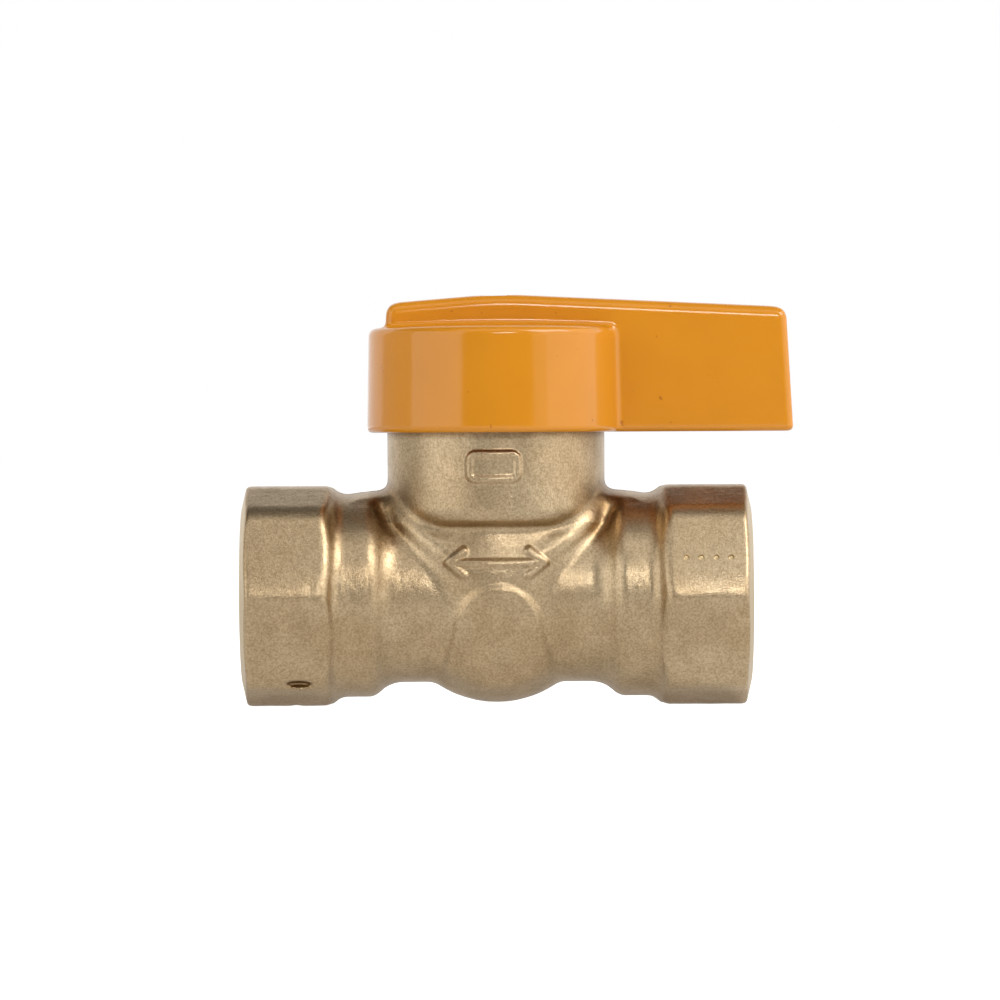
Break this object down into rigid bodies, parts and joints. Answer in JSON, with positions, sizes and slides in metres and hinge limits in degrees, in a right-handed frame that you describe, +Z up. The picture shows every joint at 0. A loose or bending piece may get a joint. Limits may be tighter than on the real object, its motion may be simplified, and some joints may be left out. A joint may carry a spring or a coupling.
{
  "type": "gas valve",
  "caption": "Brass gas ball valve with female pipe thread at both ends and a quarter-turn cap-and-blade handle that opens and shuts the gas passage.",
  "frame": {"origin": "centre of the ball, where the pipe axis meets the stem axis", "axes": "+X along the pipe towards the tip of the handle's blade with the valve open, +Z up the stem"},
  "size_m": [0.0715, 0.0334, 0.0532],
  "materials": {
    "forged_brass": "satin",
    "machined_brass": "polished",
    "chromed_brass": "polished",
    "ptfe": "satin",
    "nitrile": "matte",
    "orange_paint": "gloss",
    "zinc_plate": "satin"
  },
  "bodies": {
    "valve": {"valve_body": "forged_brass", "bonnet": "machined_brass", "bonnet_o_ring": "nitrile", "seat_left": "ptfe", "seat_right": "ptfe", "seat_o_ring_left": "nitrile", "seat_o_ring_right": "nitrile", "stem_packing": "ptfe", "gland_nut": "machined_brass"},
    "handle": {"handle": "orange_paint", "stem": "machined_brass", "thrust_washer": "ptfe", "stem_o_ring_lower": "nitrile", "stem_o_ring_upper": "nitrile", "plain_washer": "zinc_plate", "lock_washer": "zinc_plate", "handle_screw": "zinc_plate"},
    "ball": {"ball": "chromed_brass"}
  },
  "joints": [
    {"name": "handle_turn", "type": "hinge", "parent": "valve", "child": "handle", "pos_m": [0, 0, 0], "axis": [0, 0, 1], "range_deg": [-90, 0]},
    {"name": "ball_turn", "type": "hinge", "parent": "valve", "child": "ball", "pos_m": [0, 0, 0], "axis": [0, 0, 1], "range_deg": [-90, 0]}
  ],
  "couplings": [
    {"joint": "ball_turn", "follows": "handle_turn", "ratio": 1}
  ]
}
